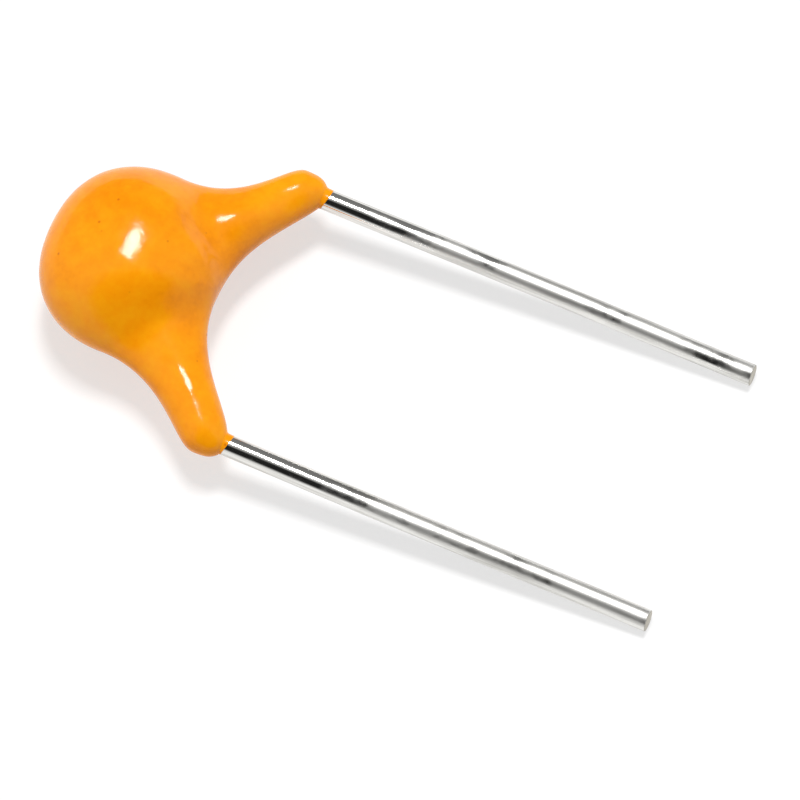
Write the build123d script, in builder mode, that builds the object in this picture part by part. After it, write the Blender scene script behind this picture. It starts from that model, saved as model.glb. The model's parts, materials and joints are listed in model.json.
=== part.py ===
from build123d import *
import math
import os

os.makedirs("parts", exist_ok=True)

# A dipped radial capacitor that lies on its broad side.
# Heights and places along the leads count from the middle of the dipped body.

# Leads
lead_pitch = 5.08
lead_diameter = 0.40
lead_reach = 11.06
bend_radius = 0.45
foot_below_chip = 0.15
shoulder_above_chip = 0.75
knee_below_exit = 0.36

# Dipped body
body_width = 3.60
body_height = 3.28
body_thickness = 2.46
left_exit_height = 2.61
right_exit_height = 2.84
coat_lip = 0.025
knee_cover = 0.15

# Form of the dipped outline
base_fullness = 0.62
flank_height = 0.12
flank_rise = 1.35
leg_swing = 0.40
bulb_height = 0.44
bulb_shoulder = 0.12
saddle_flat = 1.15
leg_underside = 0.58
leg_underside_angle = 28
leg_thickness = 0.90
leg_root = 0.55
sections_per_side = 11
saddle_lag = 2

# Ceramic chip
chip_length = 1.60
chip_height = 0.80
chip_thickness = 0.80
chip_corner = 0.06
chip_drop = 0.20

# Electrode plates inside the chip
plates_per_side = 6
plate_thickness = 0.015
cover_layer = 0.12
side_margin = 0.12
end_margin = 0.20

# Terminations and solder
termination_wall = 0.03
termination_band = 0.35
solder_film = 0.02
solder_spread = 0.11
solder_length = 0.60

lead_radius = lead_diameter / 2
half_height = body_height / 2
half_thickness = body_thickness / 2

# The body's belly and both cut ends touch the ground. Cut lengthwise through its middle, the body
# is an ellipse, so the slope of the leads solves
# (reach * slope + radius)^2 = (half_height * slope)^2 + half_thickness^2.
leverage = lead_reach**2 - half_height**2
slope = (
    math.sqrt((lead_reach * lead_radius) ** 2 + leverage * (half_thickness**2 - lead_radius**2))
    - lead_reach * lead_radius
) / leverage
tilt = math.atan(slope)
rest_height = math.hypot(half_height * math.sin(tilt), half_thickness * math.cos(tilt))
rear_end = -math.hypot(half_height * math.cos(tilt), half_thickness * math.sin(tilt))
front_end = lead_reach * math.cos(tilt) + lead_radius * math.sin(tilt)

# Both leads lie in this plane: its x runs from lead to lead and its y towards the cut ends
rest = Plane(
    origin=(0, -(rear_end + front_end) / 2, rest_height),
    x_dir=(1, 0, 0),
    z_dir=(0, math.sin(tilt), math.cos(tilt)),
)


def rest_point(x, y, z=0):
    """A point of the part, given across the leads, along them and above their plane."""
    return rest.from_local_coords((x, y, z))


# The chip lies between the leads, with its layers parallel to the plane of the leads
chip_plane = Plane(origin=rest_point(0, -chip_drop), x_dir=rest.y_dir, z_dir=rest.x_dir)
chip_base = -chip_drop - chip_height / 2
chip_top = -chip_drop + chip_height / 2
cap_face_x = chip_length / 2 + termination_wall
lead_foot_x = cap_face_x + solder_film + lead_radius


def make_lead(side, exit_height):
    """One wire: up beside the chip, outwards through the leg, and straight on to the cut end."""
    with BuildPart() as lead:
        with BuildLine(rest) as route:
            FilletPolyline(
                (side * lead_foot_x, chip_base - foot_below_chip),
                (side * lead_foot_x, chip_top + shoulder_above_chip),
                (side * lead_pitch / 2, exit_height - knee_below_exit),
                (side * lead_pitch / 2, lead_reach),
                radius=bend_radius,
            )
        with BuildSketch(Plane(origin=route.wire() @ 0, z_dir=route.wire() % 0)):
            Circle(lead_radius)
        sweep()
    return lead.part


# The plates of one side alternate with those of the other through the chip's thickness
plate_count = 2 * plates_per_side
plate_step = (chip_thickness - 2 * cover_layer - plate_thickness) / (plate_count - 1)
plate_length = chip_length - end_margin


def make_electrodes(side):
    """The plates that reach one end of the chip and stop short of the other."""
    first = 0 if side < 0 else 1
    with BuildPart() as electrodes:
        for plate in range(first, plate_count, 2):
            level = -chip_thickness / 2 + cover_layer + plate * plate_step
            plate_plane = Plane(
                origin=rest_point(side * end_margin / 2, -chip_drop, level),
                x_dir=rest.x_dir,
                z_dir=rest.z_dir,
            )
            with BuildSketch(plate_plane):
                Rectangle(plate_length, chip_height - 2 * side_margin)
            extrude(amount=plate_thickness)
    return electrodes.part


electrodes_left = make_electrodes(-1)
electrodes_right = make_electrodes(1)

with BuildPart() as ceramic_chip:
    with BuildSketch(chip_plane):
        RectangleRounded(chip_height, chip_thickness, chip_corner)
    extrude(amount=chip_length / 2, both=True)
    chip_block = ceramic_chip.part
    add(electrodes_left, mode=Mode.SUBTRACT)
    add(electrodes_right, mode=Mode.SUBTRACT)


def make_termination(side):
    """A metal cap over one end of the chip."""
    with BuildPart() as termination:
        with BuildSketch(chip_plane.offset(side * (chip_length / 2 - termination_band))):
            RectangleRounded(
                chip_height + 2 * termination_wall,
                chip_thickness + 2 * termination_wall,
                chip_corner + termination_wall,
            )
        extrude(amount=side * (termination_band + termination_wall))
        chamfer(termination.faces().sort_by(Axis.X)[0 if side < 0 else -1].edges(), termination_wall / 2)
        add(chip_block, mode=Mode.SUBTRACT)
    return termination.part


def make_solder(side, lead):
    """The fillet of solder between one cap and its wire."""
    wire_x = solder_film + lead_radius
    foot = lead_radius + solder_spread
    solder_plane = Plane(
        origin=rest_point(side * cap_face_x, -chip_drop), x_dir=rest.x_dir * side, z_dir=rest.y_dir
    )
    with BuildPart() as solder:
        with BuildSketch(solder_plane):
            with BuildLine():
                Line((0, -foot), (0, foot))
                RadiusArc((0, foot), (wire_x, lead_radius), foot)
                Line((wire_x, lead_radius), (wire_x, -lead_radius))
                RadiusArc((wire_x, -lead_radius), (0, -foot), foot)
            make_face()
        extrude(amount=solder_length / 2, both=True)
        add(lead, mode=Mode.SUBTRACT)
    return solder.part


def coat_contours(side, exit_height):
    """The outer and inner edge of one half of the coating, from the middle to the lead's exit."""
    base = (0, -half_height)
    flank = (side * body_width / 2, flank_height)
    bulb = (side * (lead_pitch / 2 + lead_radius + knee_cover), exit_height - bulb_height)
    exit_outside = side * (lead_pitch / 2 + lead_radius + coat_lip)
    exit_inside = side * (lead_pitch / 2 - lead_radius - coat_lip)
    underside = math.radians(leg_underside_angle)
    with BuildLine(rest) as outer:
        Bezier(
            base,
            (flank[0] * base_fullness, base[1]),
            (flank[0], flank[1] + (base[1] - flank[1]) * base_fullness),
            flank,
        )
        Bezier(flank, (flank[0], flank[1] + flank_rise), (bulb[0], bulb[1] - leg_swing), bulb)
        Bezier(
            bulb,
            (bulb[0], bulb[1] + bulb_height / 2),
            (exit_outside + side * bulb_shoulder, exit_height - bulb_shoulder),
            (exit_outside, exit_height),
        )
    with BuildLine(rest) as inner:
        Bezier(
            (0, half_height),
            (side * saddle_flat, half_height),
            (
                exit_inside - side * leg_underside * math.cos(underside),
                exit_height - leg_underside * math.sin(underside),
            ),
            (exit_inside, exit_height),
        )
    return outer.wire(), inner.wire()


# A section is an ellipse across the coating. In the body its thickness is a power of its length,
# chosen so that the section is full in the middle and round where the lead comes out.
lip_radius = lead_radius + coat_lip
thinning = math.log(lip_radius / half_thickness) / math.log(lip_radius / half_height)


def section_depth(half_length):
    """Half the thickness of a section: even along the legs and swelling from their roots to the middle."""
    full = half_thickness * (half_length / half_height) ** thinning
    leg = min(full, leg_thickness / 2)
    swell = max(half_length - leg_root, 0) / (half_height - leg_root)
    return leg + (full - leg) * swell**2 * (3 - 2 * swell)


def section_ends(side, exit_height):
    """Where each section meets the outer and the inner edge, from the middle to the lead's exit."""
    outer, inner = coat_contours(side, exit_height)
    ends = []
    for section in range(sections_per_side + 1):
        along_outer = section / sections_per_side
        along_inner = math.sin(math.pi / 2 * along_outer**saddle_lag) ** 2
        ends.append((outer @ along_outer, inner @ along_inner))
    return ends


left_sections = section_ends(-1, left_exit_height)[::-1]
right_sections = section_ends(1, right_exit_height)[1:]

lead_left = make_lead(-1, left_exit_height)
lead_right = make_lead(1, right_exit_height)
termination_left = make_termination(-1)
termination_right = make_termination(1)
solder_left = make_solder(-1, lead_left)
solder_right = make_solder(1, lead_right)

with BuildPart() as epoxy_coating:
    for outer_end, inner_end in left_sections + right_sections:
        across = outer_end - inner_end
        half_length = across.length / 2
        section_plane = Plane(
            origin=(outer_end + inner_end) / 2, x_dir=across, z_dir=across.cross(rest.z_dir)
        )
        with BuildSketch(section_plane):
            with BuildLine():
                for quarter in range(0, 360, 90):
                    EllipticalCenterArc((0, 0), half_length, section_depth(half_length), start_angle=quarter)
            make_face()
    loft()
    for enclosed in (
        chip_block,
        termination_left,
        termination_right,
        solder_left,
        solder_right,
        lead_left,
        lead_right,
    ):
        add(enclosed, mode=Mode.SUBTRACT)

pieces = {
    "epoxy_coating": epoxy_coating.part,
    "ceramic_chip": ceramic_chip.part,
    "electrodes_left": electrodes_left,
    "electrodes_right": electrodes_right,
    "termination_left": termination_left,
    "termination_right": termination_right,
    "solder_left": solder_left,
    "solder_right": solder_right,
    "lead_left": lead_left,
    "lead_right": lead_right,
}
for node, piece in pieces.items():
    piece.label = node
    export_step(piece, f"parts/{node}.step")
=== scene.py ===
import bpy
import json
import math
import numpy as np
from mathutils import Matrix, Vector


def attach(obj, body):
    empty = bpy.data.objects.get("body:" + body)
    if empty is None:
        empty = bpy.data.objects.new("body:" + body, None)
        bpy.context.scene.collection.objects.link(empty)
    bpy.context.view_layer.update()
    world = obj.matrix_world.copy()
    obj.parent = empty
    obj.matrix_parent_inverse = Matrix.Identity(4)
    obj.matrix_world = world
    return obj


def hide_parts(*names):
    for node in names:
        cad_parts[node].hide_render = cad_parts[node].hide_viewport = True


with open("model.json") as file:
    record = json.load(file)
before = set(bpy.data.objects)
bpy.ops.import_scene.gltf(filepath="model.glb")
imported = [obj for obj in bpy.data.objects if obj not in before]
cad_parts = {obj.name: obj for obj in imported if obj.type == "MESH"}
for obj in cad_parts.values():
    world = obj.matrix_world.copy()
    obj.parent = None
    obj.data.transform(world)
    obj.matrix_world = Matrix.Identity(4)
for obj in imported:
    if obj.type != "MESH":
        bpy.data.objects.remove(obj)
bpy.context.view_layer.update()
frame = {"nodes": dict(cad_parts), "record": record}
print("frame loaded with", len(frame["nodes"]), "nodes")

# Lengths in the settings are millimetres, and angles are degrees where no other unit is given.
# The two lead mounts give the plane that the part is drawn in: x runs from the left lead to the
# right one, y along the leads to their cut ends, and z up from both.
mm = 0.001
sides = {"left": -1, "right": 1}
pins = {mount["name"]: mount for mount in frame["record"]["mounts"] if mount["kind"] == "pin"}
leftPin, rightPin = pins["lead_left"], pins["lead_right"]
leadAxis = np.array(leftPin["axis"])
acrossAxis = np.array([1.0, 0.0, 0.0])
aboveAxis = np.cross(acrossAxis, leadAxis)
leadPitch = (rightPin["pos_m"][0] - leftPin["pos_m"][0]) / mm
leadRadius = leftPin["dims"]["r_mm"]


def newMaterial(name):
    # an empty material with its nodes, links and shader
    material = bpy.data.materials.new(name)
    material.use_nodes = True
    nodes = material.node_tree.nodes
    return material, nodes, material.node_tree.links, nodes["Principled BSDF"]


def grey(tone):
    # one tone in all three colours
    return (tone, tone, tone)


def patternSpace(nodes, links, stretch=(1, 1, 1), tilt=0.0):
    # object coordinates in millimetres, turned about x and stretched
    place = nodes.new("ShaderNodeTexCoord")
    turned = nodes.new("ShaderNodeMapping")
    turned.inputs["Rotation"].default_value = (tilt, 0, 0)
    links.new(place.outputs["Object"], turned.inputs["Vector"])
    scaled = nodes.new("ShaderNodeMapping")
    scaled.inputs["Scale"].default_value = [share / mm for share in stretch]
    links.new(turned.outputs["Vector"], scaled.inputs["Vector"])
    return scaled.outputs["Vector"]


def noise(nodes, links, space, pattern):
    # noise in layers, from zero to one: each layer is half as coarse as the last, times the roughness
    node = nodes.new("ShaderNodeTexNoise")
    node.inputs["Scale"].default_value = pattern["perMm"]
    node.inputs["Detail"].default_value = pattern["detail"]
    node.inputs["Roughness"].default_value = pattern["rough"]
    links.new(space, node.inputs["Vector"])
    return node.outputs["Fac"]


def ramp(nodes, links, value, positions, colours):
    # straight blends from the colour at each position to the next
    node = nodes.new("ShaderNodeValToRGB")
    elements = node.color_ramp.elements
    for position in positions[1:-1]:
        elements.new(position)
    for element, position, colour in zip(elements, positions, colours):
        element.position = position
        element.color = (*colour, 1)
    links.new(value, node.inputs["Fac"])
    return node.outputs["Color"]


def mixed(nodes, links, share, under, over):
    # under where the share is zero and over where it is one, each a colour or a node's output
    node = nodes.new("ShaderNodeMix")
    node.data_type = "RGBA"
    links.new(share, node.inputs["Factor"])
    for socket, colour in (("A", under), ("B", over)):
        if isinstance(colour, tuple):
            node.inputs[socket].default_value = (*colour, 1)
        else:
            links.new(colour, node.inputs[socket])
    return node.outputs["Result"]


def combined(nodes, links, operation, first, second):
    # two values added, or the larger of them
    node = nodes.new("ShaderNodeMath")
    node.operation = operation
    links.new(first, node.inputs[0])
    links.new(second, node.inputs[1])
    return node.outputs[0]


def bump(nodes, links, height, distance, strength=1.0, below=None):
    # the shading leans with the slope of the height times the distance, on top of the relief below
    node = nodes.new("ShaderNodeBump")
    node.inputs["Distance"].default_value = distance * mm
    node.inputs["Strength"].default_value = strength
    links.new(height, node.inputs["Height"])
    if below is not None:
        links.new(below, node.inputs["Normal"])
    return node.outputs["Normal"]


noiseSpread = (0.3, 0.7)  # noise seldom leaves this range

epoxyLook = {
    "deep": (0.87, 0.258, 0.001),
    "main": (0.97, 0.315, 0.002),
    "light": (0.99, 0.368, 0.004),
    # painted shade at the bottom of each pit
    "paintedPitShade": (0.66, 0.16, 0.002),
    "mottle": {"perMm": 0.55, "detail": 5, "rough": 0.80},
    "mottleSpread": (0.36, 0.50, 0.64),  # the noise at which the colour is deep, main and light
    "shine": 0.19,
    "gloss": {"perMm": 3.0, "detail": 3, "rough": 0.5},
    "roughness": (0.084, 0.18),  # in the glossiest and the dullest spots
    "ripples": {"perMm": 1.7, "detail": 2, "rough": 0.4},
    "rippleHeight": 0.010,
    "grain": {"perMm": 6.0, "detail": 3, "rough": 0.5},
    "grainHeight": 0.0045,
    "pitsPerMm": 2.2,
    "pitEdge": (0.02, 0.08),  # from a pit's bottom to its rim, as a share of the pits' spacing
    "pitDepth": 0.008,
    "pitStrength": 0.6,
}


def epoxyMaterial(look):
    # dipped epoxy: mottled orange with slow ripples, fine grain and scattered pits, each pit darkened by
    # painted shade
    material, nodes, links, shader = newMaterial("dipped_epoxy")
    space = patternSpace(nodes, links)
    mottle = noise(nodes, links, space, look["mottle"])
    body = ramp(nodes, links, mottle, look["mottleSpread"], (look["deep"], look["main"], look["light"]))
    cells = nodes.new("ShaderNodeTexVoronoi")
    cells.inputs["Scale"].default_value = look["pitsPerMm"]
    links.new(space, cells.inputs["Vector"])
    pits = ramp(nodes, links, cells.outputs["Distance"], look["pitEdge"], (grey(0), grey(1)))
    # painted shade: the colour turns darker towards each pit's bottom, where the pit is sunk in the
    # relief
    links.new(mixed(nodes, links, pits, look["paintedPitShade"], body), shader.inputs["Base Color"])
    gloss = noise(nodes, links, space, look["gloss"])
    tones = [grey(tone) for tone in look["roughness"]]
    links.new(ramp(nodes, links, gloss, noiseSpread, tones), shader.inputs["Roughness"])
    relief = bump(nodes, links, noise(nodes, links, space, look["ripples"]), look["rippleHeight"])
    grain = noise(nodes, links, space, look["grain"])
    relief = bump(nodes, links, grain, look["grainHeight"], below=relief)
    relief = bump(nodes, links, pits, look["pitDepth"], look["pitStrength"], relief)
    links.new(relief, shader.inputs["Normal"])
    shader.inputs["Specular IOR Level"].default_value = look["shine"]
    return material


tinLook = {
    "bright": (0.84, 0.83, 0.80),
    "dull": (0.52, 0.51, 0.48),
    "cut": (0.46, 0.43, 0.36),
    "cutRim": (0.09, 0.08, 0.06),
    "rimSpread": (0.0, 0.4),  # the cutFace values over which the wire turns into the rim
    "cutSpread": (0.45, 0.95),  # and the rim into the cut
    "lines": {"perMm": 9.0, "detail": 3, "rough": 0.6},  # left by the drawing of the wire
    "lineStretch": (1, 0.05, 1),  # the pattern's scale across, along and above the wire
    "lineSpread": (0.28, 0.56),  # the noise at which the colour is dull and bright
    "lineHeight": 0.0010,
    "bends": {"perMm": 0.55, "detail": 1, "rough": 0.4},
    "bendHeight": 0.026,
    "dents": {"perMm": 2.2, "detail": 2, "rough": 0.45},
    "dentHeight": 0.006,
    "dentStretch": (1, 0.45, 1),
    "patches": {"perMm": 1.1, "detail": 4, "rough": 0.65},
    "patchStretch": (1, 0.6, 1),
    "patchSpread": (0.50, 0.66),  # the noise at which the tin is glossy and worn
    "gloss": 0.10,
    "worn": 0.42,
    "handled": 0.20,  # how much handling adds to the patches at the free end of the wire
    "handledFrom": -0.6,  # the part's y where handling begins to show
    "handledTo": 2.4,  # and where it is full
}


def tinnedMaterial(look):
    # drawn wire under tin: fine lines along it, shallow dents, and patches where the tin has worn dull
    material, nodes, links, shader = newMaterial("tinned_wire")
    along = math.atan2(-leadAxis[2], leadAxis[1])
    lines = noise(nodes, links, patternSpace(nodes, links, look["lineStretch"], along), look["lines"])
    dentSpace = patternSpace(nodes, links, look["dentStretch"], along)
    bends = noise(nodes, links, dentSpace, look["bends"])
    dents = noise(nodes, links, dentSpace, look["dents"])
    patchSpace = patternSpace(nodes, links, look["patchStretch"], along)
    patches = noise(nodes, links, patchSpace, look["patches"])
    metal = ramp(nodes, links, lines, look["lineSpread"], (look["dull"], look["bright"]))
    cutFace = nodes.new("ShaderNodeAttribute")
    cutFace.attribute_name = "cutFace"
    rim = ramp(nodes, links, cutFace.outputs["Fac"], look["cutSpread"], (look["cutRim"], look["cut"]))
    onCut = ramp(nodes, links, cutFace.outputs["Fac"], look["rimSpread"], (grey(0), grey(1)))
    links.new(mixed(nodes, links, onCut, metal, rim), shader.inputs["Base Color"])
    shader.inputs["Metallic"].default_value = 1.0
    place = nodes.new("ShaderNodeSeparateXYZ")
    links.new(patternSpace(nodes, links), place.inputs[0])
    handled = nodes.new("ShaderNodeMapRange")
    links.new(place.outputs["Y"], handled.inputs["Value"])
    handled.inputs["From Min"].default_value = look["handledFrom"]
    handled.inputs["From Max"].default_value = look["handledTo"]
    handled.inputs["To Max"].default_value = look["handled"]
    dulled = combined(nodes, links, "ADD", patches, handled.outputs[0])
    wear = ramp(nodes, links, dulled, look["patchSpread"], (grey(look["gloss"]), grey(look["worn"])))
    links.new(wear, shader.inputs["Roughness"])
    relief = bump(nodes, links, bends, look["bendHeight"])
    relief = bump(nodes, links, dents, look["dentHeight"], below=relief)
    relief = bump(nodes, links, lines, look["lineHeight"], below=relief)
    links.new(relief, shader.inputs["Normal"])
    return material


coatSettings = {
    "width": 3.60,  # body, across the leads
    "height": 3.28,  # body, along the leads
    "thickness": 2.46,
    "exitHeight": {"left": 2.61, "right": 2.84},  # from the body's middle to where each lead comes out
    "lip": 0.025,  # coating on the lead at its exit
    "kneeCover": 0.15,  # coating outside the bend of the lead
    "baseFullness": 0.62,  # how square the base is, from 0 to 1
    "flankHeight": 0.12,  # where the body is widest, past its middle
    "flankRise": 1.35,  # how strongly the outer edge runs straight on from there
    "legSwing": 0.40,  # and how strongly it runs straight into the bulb
    "bulbHeight": 0.44,  # from the lip back to where the bulb is widest
    "bulbShoulder": 0.12,  # how blunt the bulb is at the lip
    "saddleFlat": 1.15,  # how strongly the saddle keeps level from the middle
    "underside": 0.58,  # how strongly the leg's inner edge runs straight back from the lip
    "undersideAngle": 28,  # and how steeply
    "legThickness": 0.90,
    "legRoot": 0.55,  # half the length of the ring where a leg starts to swell into the body
    "creep": 0.10,  # how far the epoxy has crept along the wire past its lip
    "creepFilm": 0.004,
    "creepSlant": 0.06,  # how much farther on one side of the wire than in the middle
    "creepFarSide": {"left": 0.9, "right": 2.5},  # and on which side, in radians round the wire
    "lipFade": 9,  # how steeply the lip thins out to the film
    "filmEnd": 0.9,  # the last ring's share of the wire's radius, so that it lies inside the wire
    "wave": 0.007,  # height of the slow waves in the skin
    "waves": [  # each in radians per millimetre across, along and above, and where it starts
        (2.3, 1.1, 0.0, 0.6),
        (0.0, 1.7, -2.1, 2.0),
        (3.1, -2.6, 1.9, 0.0),
    ],
    "calmPower": 6,  # how late on a leg the waves die out
    "swells": [  # where the epoxy has run together, or thinned, on the upper side
        {"across": -1.28, "along": 1.48, "height": 0.125, "spread": 0.42},
        {"across": -0.72, "along": 0.91, "height": -0.125, "spread": 0.31},
        {"across": -2.05, "along": 2.10, "height": -0.050, "spread": 0.25},
        {"across": 1.35, "along": 1.25, "height": 0.060, "spread": 0.25},
    ],
    "edgeSteps": 400,  # points on each curve of the edges
    "ringsPerSide": 110,
    "filmRings": 15,
    "columns": 144,  # points round each ring
}

leftExit = np.array(leftPin["pos_m"]) - leadAxis * leftPin["dims"]["length_mm"] / 2 * mm
bodyMiddle = leftExit - leadAxis * coatSettings["exitHeight"]["left"] * mm
bodyMiddle[0] = 0.0


def inRow(points):
    # from the drawing plane to the row frame: the body's middle + x across + y along + z above
    points = np.asarray(points, float) * mm
    x, y, z = points[..., :1], points[..., 1:2], points[..., 2:]
    return bodyMiddle + x * acrossAxis + y * leadAxis + z * aboveAxis


def skinMesh(name, points, material, attribute=None):
    # points is a grid: its rows run along the piece, its columns once round it, and each end
    # closes on a pole at the middle of its row
    rows, columns = points.shape[:2]
    first, last = points[0].mean(0), points[-1].mean(0)
    corners = np.concatenate([points.reshape(-1, 3), [first, last]])
    row, column = np.meshgrid(np.arange(rows - 1), np.arange(columns), indexing="ij")
    beside = (column + 1) % columns
    quads = np.stack([row * columns + column, row * columns + beside,
                      (row + 1) * columns + beside, (row + 1) * columns + column], -1).reshape(-1, 4)
    turn = np.arange(columns)
    nextTurn = (turn + 1) % columns
    lastRow = (rows - 1) * columns
    startFan = np.stack([np.full(columns, rows * columns), nextTurn, turn], -1)
    endFan = np.stack([np.full(columns, rows * columns + 1), lastRow + turn, lastRow + nextTurn], -1)
    triangles = np.concatenate([startFan, endFan, quads[:, [0, 1, 2]], quads[:, [0, 2, 3]]])
    a, b, c = (corners[triangles[:, corner]] for corner in range(3))
    faces = quads.tolist() + startFan.tolist() + endFan.tolist()
    if np.einsum("ij,ij->i", a, np.cross(b, c)).sum() < 0:  # the signed volume: faces look inwards
        faces = [face[::-1] for face in faces]
    mesh = bpy.data.meshes.new(name)
    mesh.from_pydata(inRow(corners).tolist(), [], faces)
    mesh.shade_smooth()
    if attribute:
        label, values = attribute
        values = np.concatenate([values.ravel(), [values[0].mean(), values[-1].mean()]])
        mesh.attributes.new(label, "FLOAT", "POINT").data.foreach_set("value", values.astype(np.float32))
    mesh.materials.append(material)
    piece = bpy.data.objects.new(name, mesh)
    bpy.context.scene.collection.objects.link(piece)
    return piece


def bezier(corners, t):
    # the cubic curve of four corners
    a, b, c, d = (np.array(corner, float) for corner in corners)
    t = t[:, None]
    return (1 - t) ** 3 * a + 3 * (1 - t) ** 2 * t * b + 3 * (1 - t) * t**2 * c + t**3 * d


def alongCurve(points, share):
    # the points at these shares of the curve's length
    length = np.concatenate([[0], np.cumsum(np.linalg.norm(np.diff(points, axis=0), axis=1))])
    return np.stack([np.interp(share * length[-1], length, points[:, axis]) for axis in range(2)], -1)


def coatEdges(side, share, coat):
    # The outer edge runs base, flank, bulb, lip, and the inner one from the saddle under the leg
    # to the lip. Both are cubic curves, and the inner one is shared out more slowly at its ends.
    sign = sides[side]
    exitY = coat["exitHeight"][side]
    baseY, saddleY = -coat["height"] / 2, coat["height"] / 2
    flankX, flankY = sign * coat["width"] / 2, coat["flankHeight"]
    bulbX = sign * (leadPitch / 2 + leadRadius + coat["kneeCover"])
    bulbY = exitY - coat["bulbHeight"]
    outX = sign * (leadPitch / 2 + leadRadius + coat["lip"])
    inX = sign * (leadPitch / 2 - leadRadius - coat["lip"])
    angle = math.radians(coat["undersideAngle"])
    t = np.linspace(0, 1, coat["edgeSteps"])
    full, shoulder, reach = coat["baseFullness"], coat["bulbShoulder"], coat["underside"]
    base, flank, bulb, lip = (0, baseY), (flankX, flankY), (bulbX, bulbY), (outX, exitY)
    outer = np.concatenate([
        bezier([base, (flankX * full, baseY), (flankX, flankY + (baseY - flankY) * full), flank], t),
        bezier([flank, (flankX, flankY + coat["flankRise"]),
                (bulbX, bulbY - coat["legSwing"]), bulb], t)[1:],
        bezier([bulb, (bulbX, bulbY + coat["bulbHeight"] / 2),
                (outX + sign * shoulder, exitY - shoulder), lip], t)[1:],
    ])
    inner = bezier([(0, saddleY), (sign * coat["saddleFlat"], saddleY),
                    (inX - sign * reach * math.cos(angle), exitY - reach * math.sin(angle)),
                    (inX, exitY)], t)
    return alongCurve(outer, share), alongCurve(inner, np.sin(np.pi / 2 * share**2) ** 2)


def coatHalf(side, coat):
    # Each ring is an ellipse between the two edges. Its thickness is a power of its length in the body
    # and even along the leg. Past the lip the rings close in on the wire and run on as a thin film.
    # Calm says how far the waves reach each ring: fully at the body's middle and not at all at the lip.
    share = np.linspace(0, 1, coat["ringsPerSide"])
    outer, inner = coatEdges(side, share, coat)
    halfHeight, halfThickness = coat["height"] / 2, coat["thickness"] / 2
    lipRadius = leadRadius + coat["lip"]
    thinning = math.log(lipRadius / halfThickness) / math.log(lipRadius / halfHeight)
    middle, half = (outer + inner) / 2, (outer - inner) / 2
    halfLength = np.linalg.norm(half, axis=1)
    full = halfThickness * (halfLength / halfHeight) ** thinning
    leg = np.minimum(full, coat["legThickness"] / 2)
    swell = np.maximum(halfLength - coat["legRoot"], 0) / (halfHeight - coat["legRoot"])
    depth = leg + (full - leg) * swell**2 * (3 - 2 * swell)
    past = np.linspace(0, 1, coat["filmRings"] + 1)[1:]
    lipLeft = (coat["lip"] - coat["creepFilm"]) * np.exp(-past * coat["lipFade"])
    film = leadRadius + coat["creepFilm"] * (1 - past) + lipLeft
    film[-1] = leadRadius * coat["filmEnd"]
    sign = sides[side]
    filmY = coat["exitHeight"][side] + coat["creep"] * past
    filmMiddle = np.stack([np.full(past.size, sign * leadPitch / 2), filmY], -1)
    filmHalf = np.stack([sign * film, np.zeros(past.size)], -1)
    middle, half = np.concatenate([middle, filmMiddle]), np.concatenate([half, filmHalf])
    depth = np.concatenate([depth, film])
    turn = np.linspace(0, 2 * np.pi, coat["columns"], endpoint=False)
    flat = middle[:, None] + half[:, None] * np.cos(turn)[None, :, None]
    slant = coat["creepSlant"] * past[:, None] * np.cos(turn - coat["creepFarSide"][side])
    flat[share.size:, :, 1] += slant
    height = depth[:, None] * np.sin(turn)
    calm = np.concatenate([1 - share ** coat["calmPower"], np.zeros(past.size)])
    return np.concatenate([flat, height[..., None]], -1), calm


def gridNormals(points):
    # the cross product of the steps along the grid and round it, at length one
    down = np.gradient(points, axis=0)
    turn = np.roll(points, -1, axis=1) - np.roll(points, 1, axis=1)
    normals = np.cross(down, turn)
    return normals / (np.linalg.norm(normals, axis=-1, keepdims=True) + 1e-12)


def makeCoat(coat, material):
    # the two halves, pushed out by the mean of the crossing waves: sines of place
    leftPoints, leftCalm = coatHalf("left", coat)
    rightPoints, rightCalm = coatHalf("right", coat)
    points = np.concatenate([leftPoints[::-1], rightPoints[1:]])
    calm = np.concatenate([leftCalm[::-1], rightCalm[1:]])
    x, y, z = points[..., 0], points[..., 1], points[..., 2]
    waves = coat["waves"]
    wave = sum(np.sin(across * x + along * y + above * z + start)
               for across, along, above, start in waves)
    push = wave * calm[:, None] * coat["wave"] / len(waves)
    points = points + gridNormals(points) * push[..., None]
    # each swell is a bell curve of place, full along the ring's top and gone at its sides
    upper = np.clip(z / z.max(axis=1, keepdims=True), 0, 1) * calm[:, None]
    for swell in coat["swells"]:
        off = (x - swell["across"]) ** 2 + (y - swell["along"]) ** 2
        points[..., 2] += upper * swell["height"] * np.exp(-off / (2 * swell["spread"] ** 2))
    return skinMesh("epoxy_skin", points, material)


leadSettings = {
    "reach": 11.06,  # from the body's middle to the cut ends
    "footX": 1.05,  # the hidden end beside the chip
    "footY": -0.75,
    "shoulderY": 0.95,  # where the wire leaves the chip for the leg
    "kneeBelowExit": 0.36,  # and where it turns straight again
    "bendRadius": 0.45,
    "bow": 0.012,  # how far each lead is from dead straight
    "cutSlant": 9,  # between the cut face and a square one
    "slantOver": 0.3,  # length of wire over which the slant comes in
    "cutRound": 0.02,
    "roundRings": 5,
    "faceRings": (0.7, 0.35),  # shares of the wire's radius
    "cutShares": (0.3, 0.8, 1.0, 1.0, 1.0),  # how much of each of the last rings is cut face
    "arcRings": 14,
    "straightRings": 59,
    "columns": 56,
}


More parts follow.
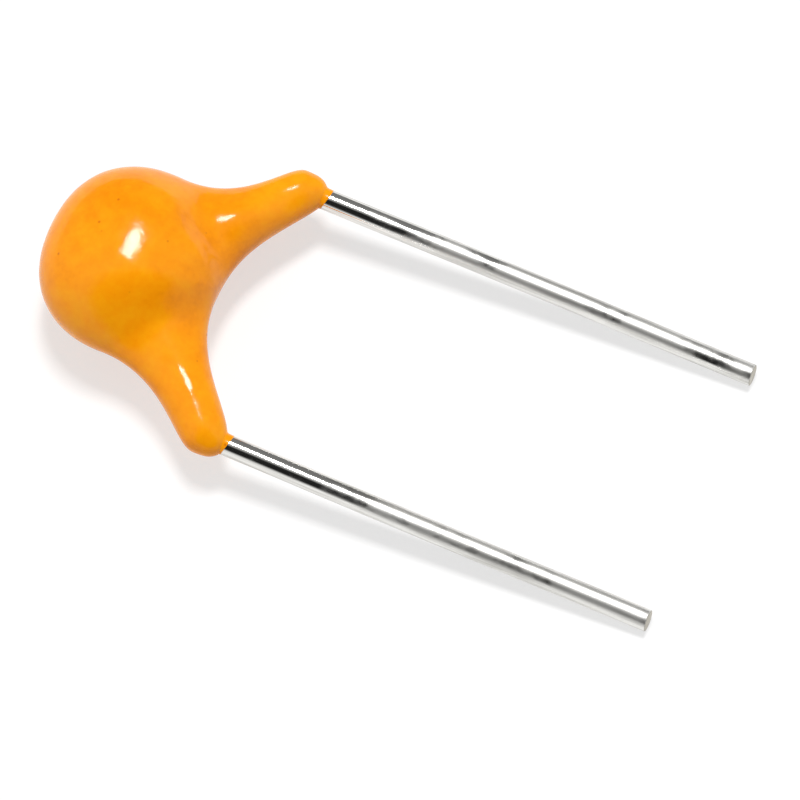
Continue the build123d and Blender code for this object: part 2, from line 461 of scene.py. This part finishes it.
def bentPath(corners, radius, arcRings):
    # straight runs joined by arcs of one radius that touch both runs
    path = [corners[0]]
    for before, corner, after in zip(corners[:-2], corners[1:-1], corners[2:]):
        back, ahead = before - corner, after - corner
        back, ahead = back / np.linalg.norm(back), ahead / np.linalg.norm(ahead)
        halfAngle = math.acos(np.dot(back, ahead)) / 2
        centre = corner + (back + ahead) / np.linalg.norm(back + ahead) * radius / math.sin(halfAngle)
        start, end = (corner + way * radius / math.tan(halfAngle) for way in (back, ahead))
        sweep = np.linspace(0, 1, arcRings)[:, None]
        arc = start + (end - start) * sweep - centre
        path.extend(centre + arc / np.linalg.norm(arc, axis=1, keepdims=True) * radius)
    path.append(corners[-1])
    return np.array(path)


def makeLead(side, lead, material):
    # a circle carried along the bent path; the last rings round off the cut edge and close on its face
    sign = sides[side]
    exitY = coatSettings["exitHeight"][side]
    footX, exitX = sign * lead["footX"], sign * leadPitch / 2
    corners = [np.array(corner, float) for corner in (
        (footX, lead["footY"]), (footX, lead["shoulderY"]),
        (exitX, exitY - lead["kneeBelowExit"]), (exitX, lead["reach"]))]
    bends = bentPath(corners, lead["bendRadius"], lead["arcRings"])
    lastBend, tip = bends[-2], bends[-1]
    run = np.linspace(0, 1, lead["straightRings"] + 1)[1:, None]
    rounding = lead["cutRound"]
    path = np.concatenate([bends[:-1], lastBend + (tip - [0, rounding] - lastBend) * run])
    bow = np.sin(np.pi * np.clip((path[:, 1] - exitY) / (lead["reach"] - exitY), 0, 1)) ** 2
    path[:, 0] += sign * lead["bow"] * bow
    ahead = np.gradient(path, axis=0)
    ahead /= np.linalg.norm(ahead, axis=1, keepdims=True)
    beside = np.stack([ahead[:, 1], -ahead[:, 0]], -1)
    radius = np.full(len(path), leadRadius)
    roundRings, faceRings = lead["roundRings"], lead["faceRings"]
    edge = np.linspace(0, np.pi / 2, roundRings + 1)[1:]
    roundPath = np.stack([np.full(roundRings, tip[0]), tip[1] - rounding + rounding * np.sin(edge)], -1)
    path = np.concatenate([path, roundPath, np.tile(tip, (len(faceRings), 1))])
    beside = np.concatenate([beside, np.tile(beside[-1], (roundRings + len(faceRings), 1))])
    roundRadius = leadRadius - rounding + rounding * np.cos(edge)
    radius = np.concatenate([radius, roundRadius, leadRadius * np.array(faceRings)])
    turn = np.linspace(0, 2 * np.pi, lead["columns"], endpoint=False)
    flat = path[:, None] + beside[:, None] * (radius[:, None] * np.cos(turn))[..., None]
    height = radius[:, None] * np.sin(turn)
    # the cut leans: rings near the end are pulled back in step with their height
    slantOver = lead["slantOver"]
    near = np.clip((flat[..., 1] - (lead["reach"] - slantOver)) / slantOver, 0, 1)
    flat[..., 1] -= near * (height + leadRadius) * math.tan(math.radians(lead["cutSlant"]))
    cutShares = np.concatenate([np.zeros(len(path) - len(lead["cutShares"])), lead["cutShares"]])
    cutFace = cutShares[:, None] * np.ones(lead["columns"])
    points = np.concatenate([flat, height[..., None]], -1)
    return skinMesh("tinned_lead_" + side, points, material, ("cutFace", cutFace))


epoxy = epoxyMaterial(epoxyLook)
tinned = tinnedMaterial(tinLook)
coatSkin = makeCoat(coatSettings, epoxy)
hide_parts("epoxy_coating")
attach(coatSkin, "root")
print("coating made with", len(coatSkin.data.polygons), "faces")

for side in sides:
    wire = makeLead(side, leadSettings, tinned)
    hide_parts("lead_" + side)
    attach(wire, "root")
print("leads made")

innerGrain = {"detail": 4, "rough": 0.6, "height": 0.002}

# How the nodes inside the coating look, by what their names start with
innerLooks = {
    "ceramic_chip": {
        "name": "chip_ceramic",
        "dark": (0.30, 0.23, 0.16),
        "light": (0.46, 0.37, 0.27),
        "metallic": 0.0,
        "roughness": 0.55,
        "grainPerMm": 14,
    },
    "electrodes": {
        "name": "electrode_nickel",
        "dark": (0.42, 0.40, 0.37),
        "light": (0.60, 0.58, 0.54),
        "metallic": 1.0,
        "roughness": 0.35,
        "grainPerMm": 20,
    },
    "termination": {
        "name": "termination_tin",
        "dark": (0.62, 0.61, 0.58),
        "light": (0.78, 0.77, 0.74),
        "metallic": 1.0,
        "roughness": 0.38,
        "grainPerMm": 16,
    },
    "solder": {
        "name": "solder_grey",
        "dark": (0.50, 0.50, 0.51),
        "light": (0.70, 0.70, 0.70),
        "metallic": 1.0,
        "roughness": 0.30,
        "grainPerMm": 8,
    },
}


def innerMaterial(look):
    # one grain gives both the mottle and the relief
    material, nodes, links, shader = newMaterial(look["name"])
    grain = noise(nodes, links, patternSpace(nodes, links), {**innerGrain, "perMm": look["grainPerMm"]})
    colour = ramp(nodes, links, grain, noiseSpread, (look["dark"], look["light"]))
    links.new(colour, shader.inputs["Base Color"])
    links.new(bump(nodes, links, grain, innerGrain["height"]), shader.inputs["Normal"])
    shader.inputs["Metallic"].default_value = look["metallic"]
    shader.inputs["Roughness"].default_value = look["roughness"]
    return material


innerMaterials = {start: innerMaterial(look) for start, look in innerLooks.items()}
for node, piece in frame["nodes"].items():
    for start, material in innerMaterials.items():
        if node.startswith(start):
            piece.data.materials.clear()
            piece.data.materials.append(material)
print("inner pieces finished")

viewSettings = {
    "turnAboutLeads": 20.7,  # how far the right side is turned up to the camera
    "pitch": 7.7,  # how far the cut ends are turned up to it
    "roll": 22.5,  # how far the leads point below the picture's horizontal
    "distance": 0.100,  # metres from the camera to the body's middle
    "frameWidth": 14.4,  # across the picture at the body
    "clip": (0.002, 20),  # metres
}


def viewAxes(view):
    # the picture's right, its down and the way back to the camera, in the row frame
    turn, pitch, roll = (math.radians(view[angle]) for angle in ("turnAboutLeads", "pitch", "roll"))
    sinP, cosP, sinT, cosT = math.sin(pitch), math.cos(pitch), math.sin(turn), math.cos(turn)
    levelRight = np.array([-sinP * sinT, cosP, -sinP * cosT])
    levelDown = np.array([cosT, 0, -sinT])
    right = math.cos(roll) * levelRight - math.sin(roll) * levelDown
    down = math.sin(roll) * levelRight + math.cos(roll) * levelDown
    towards = np.array([cosP * sinT, sinP, cosP * cosT])
    return np.stack([right, down, towards]) @ np.stack([acrossAxis, leadAxis, aboveAxis])


def standing(right, up, back, place):
    # the matrix whose columns are an object's own three axes and its place
    return Matrix([[*row] for row in zip(right, up, back, place)] + [[0, 0, 0, 1]])


def makeCamera(view):
    # the camera stands straight off the body's middle and aims at the middle of what it sees of the part:
    # each spot counts at its place in the picture, so one that is nearer lies farther out
    right, down, towards = viewAxes(view)
    meshes = [node.data for node in frame["nodes"].values()]
    spots = np.concatenate([[corner.co for corner in mesh.vertices] for mesh in meshes]) - bodyMiddle
    nearer = view["distance"] / (view["distance"] - spots @ towards)
    across, low = spots @ right * nearer, spots @ down * nearer
    aim = right * (across.min() + across.max()) / 2 + down * (low.min() + low.max()) / 2
    place = Vector(towards * view["distance"])
    back = (place - Vector(aim)).normalized()
    up = back.cross(Vector(right)).normalized()
    camera = bpy.data.objects.new("camera", bpy.data.cameras.new("camera"))
    camera.data.clip_start, camera.data.clip_end = view["clip"]
    camera.data.angle = 2 * math.atan(view["frameWidth"] * mm / 2 / view["distance"])
    camera.matrix_world = standing(up.cross(back), up, back, place + Vector(bodyMiddle))
    bpy.context.scene.collection.objects.link(camera)
    bpy.context.scene.camera = camera


makeCamera(viewSettings)

floorLook = {
    "size": 1.2,  # metres
    "colour": 0.86,
    "seenColour": 0.40,
    "seenGlow": 0.61,
    "fibres": {"perMm": 0.4, "detail": 3, "rough": 0.5},
    "fibreShade": 0.985,
}


def makeFloor(look):
    # The camera, and what metal and glass mirror, sees a darker paper that also glows, so the floor reads
    # as white and its shadow stays soft. Scattered light meets plain white paper.
    size = look["size"] / 2
    corners = [(-size, -size, 0), (size, -size, 0), (size, size, 0), (-size, size, 0)]
    mesh = bpy.data.meshes.new("floor")
    mesh.from_pydata(corners, [], [(0, 1, 2, 3)])
    material, nodes, links, paper = newMaterial("pale_floor")
    nodes.remove(paper)
    fibres = noise(nodes, links, patternSpace(nodes, links), look["fibres"])
    path = nodes.new("ShaderNodeLightPath")

    def diffuse(tone):
        # matt paper, faintly clouded by its fibres
        node = nodes.new("ShaderNodeBsdfDiffuse")
        tones = (grey(tone * look["fibreShade"]), grey(tone))
        links.new(ramp(nodes, links, fibres, noiseSpread, tones), node.inputs["Color"])
        return node.outputs[0]

    glow = nodes.new("ShaderNodeEmission")
    glow.inputs["Strength"].default_value = look["seenGlow"]
    seen = nodes.new("ShaderNodeAddShader")
    links.new(diffuse(look["seenColour"]), seen.inputs[0])
    links.new(glow.outputs[0], seen.inputs[1])
    glossy, through = path.outputs["Is Glossy Ray"], path.outputs["Is Transmission Ray"]
    mirrored = combined(nodes, links, "MAXIMUM", glossy, through)
    choose = nodes.new("ShaderNodeMixShader")
    looking = combined(nodes, links, "MAXIMUM", path.outputs["Is Camera Ray"], mirrored)
    links.new(looking, choose.inputs[0])
    links.new(diffuse(look["colour"]), choose.inputs[1])
    links.new(seen.outputs[0], choose.inputs[2])
    links.new(choose.outputs[0], nodes["Material Output"].inputs["Surface"])
    mesh.materials.append(material)
    floor = bpy.data.objects.new("floor", mesh)
    bpy.context.scene.collection.objects.link(floor)


lampSettings = {
    "softbox": {
        "direction": (0.00, -0.655, 0.755),  # to the picture's right, down it and back to the camera
        "longSide": (-0.65, 0.62, 0.45),
        "distance": 0.30,  # metres, as the size
        "size": (0.072, 0.055),
        "radiance": 54.0,
    },
}


def makeLamp(name, lamp):
    # a flat lamp that faces the body's middle; its power is the radiance times pi times its area
    axes = viewAxes(viewSettings)
    towards = Vector(np.array(lamp["direction"]) @ axes).normalized()
    shortSide = towards.cross(Vector(np.array(lamp["longSide"]) @ axes)).normalized()
    longSide = shortSide.cross(towards)
    data = bpy.data.lights.new(name, "AREA")
    data.shape = "RECTANGLE"
    data.size, data.size_y = lamp["size"]
    data.energy = lamp["radiance"] * math.pi * lamp["size"][0] * lamp["size"][1]
    light = bpy.data.objects.new(name, data)
    place = Vector(bodyMiddle) + towards * lamp["distance"]
    light.matrix_world = standing(longSide, shortSide, towards, place)
    bpy.context.scene.collection.objects.link(light)


worldLook = {
    "tent": 0.83,
    "dim": 0.20,  # the tent's far side, low behind the part
    "dimWay": (-0.90, -0.30, 0.20),  # across the part, along it and above it
    "dimSpread": (0.15, 0.85),  # the cosines towards that side over which the tent dims
    "card": 1.0,  # a white card, low in front of the part
    "cardWay": (0.93, -0.13, 0.33),
    "cardEdge": (24, 50),  # the angles from its middle over which the card ends
    "opening": 0.015,
    "openingWay": (0.06, 0.38, 0.92),  # to the picture's right, down it and back to the camera
    "openingEdge": (32, 49),  # the angles from its middle over which the dark opening ends
}


def makeWorld(look):
    # a pale tent with one dim side, a white card, and a dark opening that the camera looks through
    world = bpy.data.worlds.new("studio")
    bpy.context.scene.world = world
    world.use_nodes = True
    nodes, links = world.node_tree.nodes, world.node_tree.links
    place = nodes.new("ShaderNodeTexCoord")
    partAxes = np.stack([acrossAxis, leadAxis, aboveAxis])

    def lean(way):
        # the cosine of the angle from the way, given in the row frame
        dot = nodes.new("ShaderNodeVectorMath")
        dot.operation = "DOT_PRODUCT"
        dot.inputs[1].default_value = Vector(way).normalized()
        links.new(place.outputs["Generated"], dot.inputs[0])
        return dot.outputs["Value"]

    def disc(way, edge):
        # one inside the disc and zero outside it
        inside, outside = (math.cos(math.radians(angle)) for angle in edge)
        return ramp(nodes, links, lean(way), (outside, inside), (grey(0), grey(1)))

    tones = (grey(look["tent"]), grey(look["dim"]))
    tent = ramp(nodes, links, lean(np.array(look["dimWay"]) @ partAxes), look["dimSpread"], tones)
    card = disc(np.array(look["cardWay"]) @ partAxes, look["cardEdge"])
    opening = disc(np.array(look["openingWay"]) @ viewAxes(viewSettings), look["openingEdge"])
    carded = mixed(nodes, links, card, tent, grey(look["card"]))
    opened = mixed(nodes, links, opening, carded, grey(look["opening"]))
    links.new(opened, nodes["Background"].inputs["Color"])


makeFloor(floorLook)
for lampName, lamp in lampSettings.items():
    makeLamp(lampName, lamp)
makeWorld(worldLook)
bpy.context.scene.view_settings.view_transform = "Standard"
print("studio set up")

bpy.context.view_layer.update()
